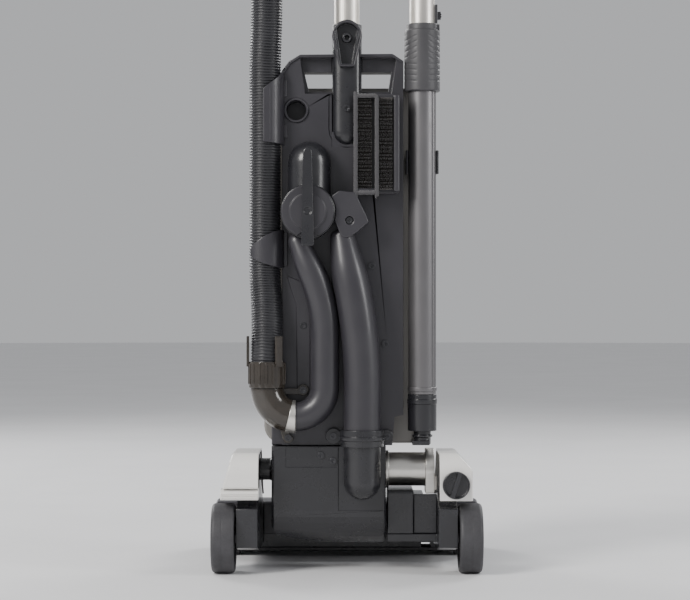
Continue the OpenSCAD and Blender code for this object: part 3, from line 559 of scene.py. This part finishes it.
def hair(bm, base, tip, radius, bend):
    """One tapering three-sided hair with a bend at its middle, in millimetres."""
    base, tip = Vector(base), Vector(tip)
    axis = (tip - base).normalized()
    side = axis.orthogonal().normalized()
    across = axis.cross(side)
    middle = (base + tip) / 2 + bend
    rows = []
    for centre, r in ((base, radius), (middle, radius * 0.85), (tip, radius * 0.45)):
        rows.append([bm.verts.new((centre + r * (math.cos(a) * side + math.sin(a) * across)) * MM)
                     for a in (0, 2.094, 4.189)])
    grid_faces(bm, rows)
    bm.faces.new(rows[2])


def tool_hairs(x_low, x_high, z_low, z_high, seed):
    """A band of short hairs on the brush tool, whose rows lean together in places."""
    rng = random.Random(seed)
    bm = bmesh.new()
    for i in range(int((z_high - z_low) / TOOL_STEP) + 1):
        z = z_low + i * TOOL_STEP
        lean = 1.5 * math.sin(i * 1.9) + rng.uniform(-0.8, 0.8)
        crown = rng.uniform(0, 1.3)
        for k in range(int((x_high - x_low) / TOOL_STEP) + 1):
            x = x_low + k * TOOL_STEP
            base = (x + rng.uniform(-0.3, 0.3), TOOL_FOOT, z + rng.uniform(-0.3, 0.3))
            tip = (min(max(base[0] + rng.uniform(-0.8, 0.8), x_low), x_high),
                   TOOL_TIP + crown + rng.uniform(0, 0.7),
                   min(max(base[2] + lean + rng.uniform(-0.4, 0.4), z_low), z_high))
            hair(bm, base, tip, 0.5, Vector((rng.uniform(-0.4, 0.4), 0, rng.uniform(-0.3, 0.3))))
    return bm


def make_tool_bristles():
    """The brush tool's two bands of hairs, each on a bed."""
    left = tool_hairs(13.6, 30.6, 480.8, 591.2, 3)
    right = tool_hairs(40.8, 57.0, 479.8, 593.2, 4)
    beds = [slab([(13, 480), (31.2, 480), (31.2, 592), (13, 592)], -123, -116.3, 1.0),
            slab([(40, 479), (57.6, 479), (57.6, 594), (40, 594)], -123, -116.3, 1.0)]
    bm = join(left, right, *beds)
    add_piece("tool_bristle_bands", finished(bm, "tool_bristle_bands", 70), "bristle", "brush_tool",
              ["tool_bristles"], weighted=False)


make_tool_bristles()


def make_roller_bristles():
    """Tufts in four slanting rows round the brush roller."""
    rng = random.Random(7)
    bm = bmesh.new()
    for row in range(TUFT_ROWS):
        for x in range(-140, 141, 5):
            if abs(x - BELT_X) < BELT_GAP:
                continue
            angle = math.radians(row * 360 / TUFT_ROWS + x / 2)
            out = Vector((0, -math.sin(angle), math.cos(angle)))
            along = Vector((1, 0, 0))
            across = out.cross(along)
            middle = BRUSH_AXIS + Vector((x, 0, 0))
            for _ in range(HAIRS_PER_TUFT):
                foot = middle + out * 17.5 + along * rng.uniform(-1.6, 1.6)
                foot += across * rng.uniform(-1.4, 1.4)
                tip = middle + out * rng.uniform(26.2, 27.5) + along * rng.uniform(-2.6, 2.6)
                tip += across * rng.uniform(-2.2, 2.2)
                hair(bm, foot, tip, 0.35, Vector((0, 0, 0)))
    add_piece("roller_tufts", finished(bm, "roller_tufts", 70), "bristle", "brush_roller", ["brush_bristles"],
              weighted=False)


make_roller_bristles()

# ---------------------------------------------------------------- body

TOOL_SOCKET = (-64, 0, 580)
CLIP_X, CLIP_Y = -103, -102  # the hose's middle where its clips hold it

rounded_node("motor_housing", 0.35, 2, [
    (4.0, 4, lambda x, y, z: (abs(x + 95) < 0.5 or abs(x - 49) < 0.5) and z < 156 and y < -20)])
rounded_node("swivel_tube", 0.6, look="satin")


def shell_details():
    """Mouldings on the rear shell: rim of the tool socket, seat of the handle socket, side panel, lip of the
    carry handle and lower corner."""
    rim = lathe([(12.6, -100.0), (12.6, -101.8), (13.2, -102.4), (14.8, -102.4), (15.8, -101.4),
                 (16.2, -99.8)], TOOL_SOCKET, "y", 56)
    panel = [(-63, 222), (-46, 222), (-46, 345), (-52, 362), (-76, 372), (-70, 352), (-64, 335)]
    lip = [(-82, 628), (-73.5, 641), (-59.5, 650), (57.5, 651), (71, 642), (71, 638), (57, 647), (-59, 646.5),
           (-71, 638.5), (-79.5, 626)]
    corner = [(-95, 158.4), (-80, 158.4), (-80, 229), (-95, 229)]
    seat = slab([(-19, 534), (19, 534), (19, 553), (-19, 553)], -99.9, -90, 0.2, segments=1)
    return [rim, seat, slab(panel, -101.8, -99.5, 1.1), slab(lip, -102.2, -99.5, 1.0),
            slab(corner, -99.8, -61, 1.5)]


rounded_node("rear_shell", 0.6, 3, [
    (2.2, 4, lambda x, y, z: z > 648 and y < -65)], shell_details())
rounded_node("front_shell", 1.0, 2, [
    (3.0, 4, lambda x, y, z: abs(y + 60) < 0.5 and (abs(x) > 95 or z > 600 or z < 170))])
rounded_node("bag_door", 1.0, 2, [
    (4.0, 4, lambda x, y, z: y > 22 and (abs(x) > 100 or z > 590 or (z < 236 and abs(x) > 25)) and z < 609)])
rounded_node("door_latch", 1.2, 3)
rounded_node("port_block", 1.4, 3)
rounded_node("diverter_housing", 1.0)
rounded_node("diverter_dial", 0.9)
rounded_node("diverter_lever", 1.2, 3)


def duct(name, node, route, nose):
    """Moulded duct along a route of (x, y, z, radius) in millimetres, closing smoothly into its nose."""
    route = np.array(route, float)
    points, direction, along = smooth_path(route[:, :3], 2.5)
    marks = np.concatenate([[0], np.cumsum(np.linalg.norm(np.diff(route[:, :3], axis=0), axis=1))])
    radius = np.interp(along, marks * along[-1] / marks[-1], route[:, 3])
    radius = np.convolve(np.pad(radius, 6, mode="edge"), np.ones(13) / 13, "valid")
    fade = np.clip((along[-1] - along) / nose, 0, 1)
    radius = radius * np.sqrt(1 - (1 - fade) ** 2 * 0.9)
    bm = sweep(points, direction, radius[:, None] * np.ones((1, 56)))
    bm.transform(Matrix.Scale(MM, 4))
    add_piece(name, finished(bm, name, 60), SLOT_OF[node], BODY_OF[node], [node])


def bend_points(cx, cz, bend, start, end, y, radius, count=10):
    """Route points of a bend in a duct."""
    return [(x, y, z, radius) for x, z in arc(cx, cz, bend, start, end, count)]


duct("left_duct_moulding", "left_duct",
     bend_points(-64, 231, 36, -90, 0, -121, 18) + [(-28, -121, 265, 18)]
     + bend_points(-208, 300, 180, 0, 22, -121, 18, 5)
     + [(-48.5, -121, 384, 17), (-54.8, -120.5, 398, 14.5), (-61, -119.5, 412, 12), (-67, -118, 424, 10)], 10)
duct("right_duct_moulding", "right_duct",
     [(19, -124, 168, 23), (19, -124, 200, 23)] + bend_points(-621, 230, 640, 0, 11, -124, 23, 6)
     + [(2, -123.5, 377, 22), (-1.5, -122, 395, 19.5), (-4.5, -120, 412, 16.5), (-7.5, -118, 430, 14)], 8)
rounded_node("duct_clamp", 0.7)
rounded_node("duct_boot", 0.5)
rounded_node("elbow", 0.6)
rounded_node("elbow_band", 0.4, look="satin")
rounded_node("hose_cuff", 0.5)
rounded_node("body_screws", 0.2, look="dark_steel")


def curved_wall(radius_in, radius_out, start, end, low, high, count=28, levels=10):
    """Part of a sleeve about the hose between two angles; low and high give its ends' heights by share."""
    bm = bmesh.new()
    sides = []
    for radius in (radius_in, radius_out):
        rows = []
        for i in range(count + 1):
            share = i / count
            angle = math.radians(start + (end - start) * share)
            z0, z1 = low(share), high(share)
            x, y = CLIP_X + radius * math.cos(angle), CLIP_Y + radius * math.sin(angle)
            rows.append([bm.verts.new(Vector((x, y, z0 + (z1 - z0) * k / levels)) * MM)
                         for k in range(levels + 1)])
        sides.append(rows)
        grid_faces(bm, rows, wrap_columns=False)
    inner, outer = sides
    for i in range(count):
        bm.faces.new((inner[i][0], outer[i][0], outer[i + 1][0], inner[i + 1][0]))
        bm.faces.new((inner[i][-1], inner[i + 1][-1], outer[i + 1][-1], outer[i][-1]))
    for k in range(levels):
        bm.faces.new((inner[0][k], inner[0][k + 1], outer[0][k + 1], outer[0][k]))
        bm.faces.new((inner[-1][k], outer[-1][k], outer[-1][k + 1], inner[-1][k + 1]))
    bmesh.ops.recalc_face_normals(bm, faces=bm.faces)
    return bm


def make_hose_clips():
    """The leaf-shaped clip at half height and the long ribbed one beside the tool socket."""
    leaf = curved_wall(21, 24, -140, -4,
                       lambda t: 381 + 15 * (1 - t) ** 2.2, lambda t: 429 - 24 * (1 - t) ** 2.4)
    round_edges(leaf, 0.8, 2, 50)
    arm = slab([(-81.5, 384), (-74.5, 384), (-74.5, 426), (-81.5, 426)], -103.5, -99.8, 1.0)
    bm = join(leaf, arm)
    add_piece("mid_clip_leaf", finished(bm, "mid_clip_leaf"), "charcoal", "upright", ["mid_hose_clip"])

    wall = curved_wall(21, 24, -95, -4, lambda t: 535 + 4 * (1 - t), lambda t: 604 + 26 * t**0.8)
    round_edges(wall, 0.8, 2, 50)
    arms = [slab([(-81, 545), (-75, 545), (-75, 562), (-81, 562)], -103.5, -99.8, 1.0),
            slab([(-81, 597), (-76, 597), (-76, 618), (-81, 618)], -103.5, -99.8, 1.0)]
    ribs = []
    for angle in (-88, -72, -56, -40):
        rib = curved_wall(23.6, 24.4, angle - 2.2, angle + 2.2,
                          lambda t: 541, lambda t, a=angle: 600 + 0.28 * (a + 95), 4, 6)
        round_edges(rib, 0.3, 1, 50)
        ribs.append(rib)
    bm = join(wall, *arms, *ribs)
    add_piece("upper_clip_wall", finished(bm, "upper_clip_wall"), "charcoal", "upright", ["upper_hose_clip"])


make_hose_clips()

# ---------------------------------------------------------------- handle and switch

HANDLE_Y = -88
SOCKET_RADIUS = 18.75
SOCKET_REACH = 18.95  # from the handle's axis back to the socket's full face


def make_handle_socket():
    """Full-width front of the socket, and the rolled lip of its teardrop hood."""
    end = [(SOCKET_RADIUS * math.cos(math.radians(a)), 554 - SOCKET_RADIUS * math.sin(math.radians(a)))
           for a in range(9, 91, 9)]
    front = lathe([(0, 656), (SOCKET_RADIUS, 656), (SOCKET_RADIUS, 554)] + end, (0, HANDLE_Y, 0), "z", 96)
    for vertex in front.verts:
        depth = (HANDLE_Y - vertex.co.y / MM) / SOCKET_RADIUS
        if depth > 0:
            vertex.co.y = (HANDLE_Y - SOCKET_REACH * depth**0.5) * MM
    rounded_node("handle_socket", 0.8, extra=[front])
    outline = (arc(0, 672, 17.6, -18, 198, 26) + arc(-6.2, 638, 3.6, 200, 268, 5)
               + arc(6.2, 638, 3.6, 272, 340, 5))
    ring = [(x, -117.6, z) for x, z in outline + outline[:1]]
    points, direction, _ = smooth_path(ring, 1.5)
    lip = sweep(points, direction, [[1.25] * 12 for _ in points])
    lip.transform(Matrix.Scale(MM, 4))
    # The rolled lip is real; its charcoal, a lighter tone than the socket's black, is a painted highlight of
    # light caught along the hood's rim.
    add_piece("hood_lip", finished(lip, "hood_lip", 80), "charcoal", "upright", weighted=False)


make_handle_socket()
rounded_node("handle_tube", 0.4)
rounded_node("handle_grip", 0.8, 2, [(5.0, 5, lambda x, y, z: abs(abs(x) - 15) < 0.5)])
rounded_node("power_switch", 0.8)
rounded_node("hose_hook", 1.6, 3)

# ---------------------------------------------------------------- brush tool


def rounded_rectangle(x0, z0, x1, z1, radius):
    """Outline of a rectangle with round corners."""
    corners = ((x1 - radius, z1 - radius, 0), (x0 + radius, z1 - radius, 90),
               (x0 + radius, z0 + radius, 180), (x1 - radius, z0 + radius, 270))
    return [p for cx, cz, turn in corners for p in arc(cx, cz, radius, turn, turn + 90, 6)]


def make_brush_tool():
    """Brush tool: plate, frame wall, rounded side and neck, with a velour strip on the frame."""
    plate = slab(rounded_rectangle(8, 474, 66, 599, 5), -116.5, -107.5, 1.6)
    walls = [slab([(x0, z0), (x1, z0), (x1, z1), (x0, z1)], -131, -115.5, 0.8, segments=2)
             for x0, z0, x1, z1 in ((8.8, 474.8, 12.6, 597), (34.8, 474.8, 39.4, 597), (10, 592.6, 38, 597),
                                    (10, 474.8, 38, 480))]
    side = slab(rounded_rectangle(57.8, 475.5, 65.8, 597.5, 3), -129.5, -115.5, 2.8, segments=4)
    neck = lathe([(0, -108), (13, -108), (14, -107), (14, -101), (13.4, -100.4), (0, -100.4)],
                 (37, 0, 536), "y", 64)
    bm = join(plate, *walls, side, neck)
    add_piece("brush_tool_body", finished(bm, "brush_tool_body"), "charcoal", "brush_tool", ["brush_tool"])

    rng = random.Random(11)
    ring = rounded_rectangle(10.8, 474.6, 37.1, 595.2, 3.5)
    ring = [(x, -131.6, z) for x, z in ring + ring[:1]]
    points, direction, _ = smooth_path(ring, 0.9)
    radii = [[2.55 + rng.uniform(-0.32, 0.25) for _ in range(14)] for _ in points]
    strip = sweep(points, direction, radii)
    strip.transform(Matrix.Scale(MM, 4))
    add_piece("tool_velour", finished(strip, "tool_velour", 80), "bristle", "brush_tool", weighted=False,
              look="velour")


make_brush_tool()

# ---------------------------------------------------------------- wand

WAND_AXIS = (95, -92, 0)
COLLAR_RADIUS = 22.5
COLLAR_MIDDLE = 642.5
GROOVE_PITCH = 7
GROOVE_DEPTH = 0.36


def chevrons(angle, height, radius):
    """Slanting grooves on both flanks of the collar: rising inwards above its middle, falling below it."""
    if radius < 22:
        return 0
    across = abs(radius * math.cos(angle))
    flank = min(1, max(0, (across - 7) / 2))
    flank = flank * min(1, max(0, (height - 613) / 3)) * min(1, max(0, (676 - height) / 3))
    slope = 0.45 if height > COLLAR_MIDDLE else -0.16
    phase = ((height - COLLAR_MIDDLE - slope * (COLLAR_RADIUS - across)) / GROOVE_PITCH) % 1
    return -GROOVE_DEPTH * flank * math.exp(-(((phase - 0.5) / 0.15) ** 2))


def make_collar():
    """Twist collar: chevron ribs, neck ring and the tongue that carries the button."""
    rows = 150
    outside = [(COLLAR_RADIUS, 605.5 + (679.5 - 605.5) * i / rows) for i in range(rows + 1)]
    profile = ([(17.6, 604), (21.4, 604), (22.2, 604.5)] + outside + [(22.1, 680.6), (21, 681), (20.2, 681.6),
               (20, 682.6), (20, 687.8), (19.4, 689), (16.2, 689), (16.15, 641), (17.6, 640)])
    collar = lathe(profile, WAND_AXIS, "z", 144, chevrons)
    nub = slab([(110, -97), (117, -97), (117, -87), (110, -87)], 676, 689, 1.2, "xy")
    tongue = slab([(111.4, -96), (114.3, -96), (114.3, -88), (111.4, -88)], 688, 714, 0.7, "xy", 2)
    bm = join(collar, nub, tongue)
    mesh = finished(bm, "wand_collar_grip", 45)
    add_piece("wand_collar_grip", mesh, "black", "wand_lower", ["wand_collar"], look="grip")


def keyed_tube(name, slot, body, node, profile, key_turn, key_width, key_depth, look=None):
    """Tube with one shallow key groove along its length, at angle key_turn."""
    def groove(angle, _height, radius):
        off = abs((angle - key_turn + math.pi) % (2 * math.pi) - math.pi)
        return -key_depth * max(0, 1 - (off / key_width) ** 4) if radius > profile[0][0] else 0

    bm = lathe(profile, WAND_AXIS, "z", 120, groove)
    add_piece(name, finished(bm, name, 50), slot, body, [node], look=look)


make_collar()
keyed_tube("wand_lower_pipe", "charcoal", "wand_lower", "wand_lower_tube",
           [(16.1, 222.2), (17.0, 222.2), (17.5, 222.8), (17.5, 225.6), (18.3, 226), (18.5, 226.6),
            (18.5, 230.4), (18.2, 231), (17.5, 231.4), (17.5, 400), (17.5, 639.6), (17.2, 640), (16.1, 640)],
           math.radians(-38), 0.09, 0.7, "graphite")
keyed_tube("wand_upper_pipe", "tube", "wand_upper", "wand_upper_tube",
           [(14.8, 265), (15.7, 265), (16, 265.4), (16, 500), (16, 744.9), (14.8, 744.9)],
           math.radians(-20), 0.10, 0.5)
rounded_node("wand_cradle", 0.9)
rounded_node("wand_cuff", 0.7)
rounded_node("wand_button", 0.4)
rounded_node("wand_handpiece", 0.8)
rounded_node("hose_end_cuff", 0.5)

# ---------------------------------------------------------------- bag and filters


def make_filter_bag():
    """Full dust bag: rounded body that sags, folded-in side gussets, creases and a sealed top flap."""
    rng = random.Random(5)
    creases = [(rng.uniform(0, 6.28), rng.uniform(3, 9), rng.uniform(12, 34), rng.uniform(0.4, 1.1))
               for _ in range(9)]
    low, high = 241, 562
    bm = bmesh.new()
    rows = []
    levels, sides = 72, 112
    for i in range(levels + 1):
        t = i / levels
        z = low + (high - low) * t
        close = (1 - abs(2 * t - 1) ** 5) ** 0.5
        full = 1 - 0.20 * t**1.6
        row = []
        for k in range(sides):
            angle = 2 * math.pi * k / sides
            c, s = math.cos(angle), math.sin(angle)
            x = 78 * math.copysign(abs(c) ** 0.42, c) * (0.30 + 0.70 * close)
            y = 44 * full * math.copysign(abs(s) ** 0.55, s) * max(close, 0.10)
            gusset = math.exp(-(s / 0.30) ** 2) * 9 * close
            x -= math.copysign(gusset, c) if abs(c) > 0.1 else 0
            ripple = sum(d * math.sin(angle * round(f) + p + z / w) for p, f, w, d in creases) * 0.45 * close
            x += ripple * c
            y += ripple * s
            x = max(-79.5, min(79.5, x))
            y = max(-46, min(46, y))
            point = Vector((x, -3 + y, z + 1.5 * math.sin(3 * angle) * (1 - close)))
            row.append(bm.verts.new(point * MM))
        rows.append(row)
    grid_faces(bm, rows)
    bm.faces.new(rows[0])
    bm.faces.new(rows[-1])
    flap = slab([(-24, 556), (24, 556), (24, 574), (-24, 574)], -6, 0, 1.5)
    bm = join(bm, flap)
    mesh = finished(bm, "dust_bag", 60)
    bag = add_piece("dust_bag", mesh, "bag", "upright", ["filter_bag"], weighted=False)


def pleated(name, node, low, high, pitch, axis_depth):
    """Filter block with pleats across X inside a thin frame."""
    (x0, y0, z0), (x1, y1, z1) = low, high
    outline = []
    count = int((x1 - x0 - 6) / pitch)
    for i in range(count + 1):
        x = x0 + 3 + (x1 - x0 - 6) * i / count
        outline.append((x, axis_depth[0] if i % 2 else axis_depth[1]))
    back = [(x, d - 1.0) for x, d in reversed(outline)]
    if node == "motor_filter":
        pleats = prism(outline + back, y0 + 1, y1 - 1, "xz")
    else:
        pleats = prism(outline + back, z0 + 1, z1 - 1, "xy")
    rails = []
    for a, b in ((x0, x0 + 4), (x1 - 4, x1)):
        rails.append(slab([(a, z0), (b, z0), (b, z1), (a, z1)], y0, y1, 0.8))
    bm = join(pleats, *rails)
    add_piece(name, finished(bm, name, 30), "filter", "upright", [node])


make_filter_bag()
pleated("motor_filter_pleats", "motor_filter", (-60, -45, 223), (60, 10, 232), 3.0, (225, 231))
pleated("exhaust_filter_pleats", "exhaust_filter", (-90, -50, 166), (90, 8, 214), 5.0, (-8, 7.5))
rounded_node("suction_motor", 3.0, 4)
rounded_node("motor_fan", 1.5)

# ---------------------------------------------------------------- stage and light


def make_stage():
    """Plain pale floor, with its tone broken a little."""
    bpy.ops.mesh.primitive_circle_add(vertices=96, radius=14, fill_type="NGON")
    floor = bpy.context.object
    floor.name = "floor"
    s = Shader("floor", Specular_IOR_Level=0.3)
    s.colour(s.ramp(s.noise(3, 4), [(0.3, (0.74, 0.74, 0.75)), (0.7, (0.78, 0.78, 0.79))]))
    s.roughness(0.5, 0.6, 8)
    floor.data.materials.append(s.material)


def area_light(name, location, target, size, power, colour=(1, 1, 1)):
    """Rectangular lamp aimed at target."""
    data = bpy.data.lights.new(name, "AREA")
    data.shape = "RECTANGLE"
    data.size, data.size_y = size
    data.energy = power
    data.color = colour
    light = bpy.data.objects.new(name, data)
    light.location = location
    light.rotation_euler = (Vector(target) - Vector(location)).to_track_quat("-Z", "Y").to_euler()
    bpy.context.scene.collection.objects.link(light)


def make_light():
    """Even grey world, a key and a fill light behind the machine, and two lights in front of it."""
    world = bpy.data.worlds.new("studio")
    world.use_nodes = True
    background = world.node_tree.nodes["Background"]
    background.inputs["Color"].default_value = (0.80, 0.81, 0.83, 1)
    background.inputs["Strength"].default_value = 0.62
    bpy.context.scene.world = world
    area_light("key", (-1.9, -1.9, 1.9), (0, 0, 0.45), (0.9, 1.6), 90, (1, 0.98, 0.95))
    area_light("fill", (2.4, -1.1, 1.3), (0, 0, 0.4), (0.7, 1.5), 30)
    area_light("back_left", (-1.6, 2.0, 1.7), (0, 0, 0.5), (0.8, 1.4), 40)
    area_light("back_right", (1.7, 1.9, 1.9), (0, 0, 0.5), (0.8, 1.4), 40)


make_stage()
make_light()
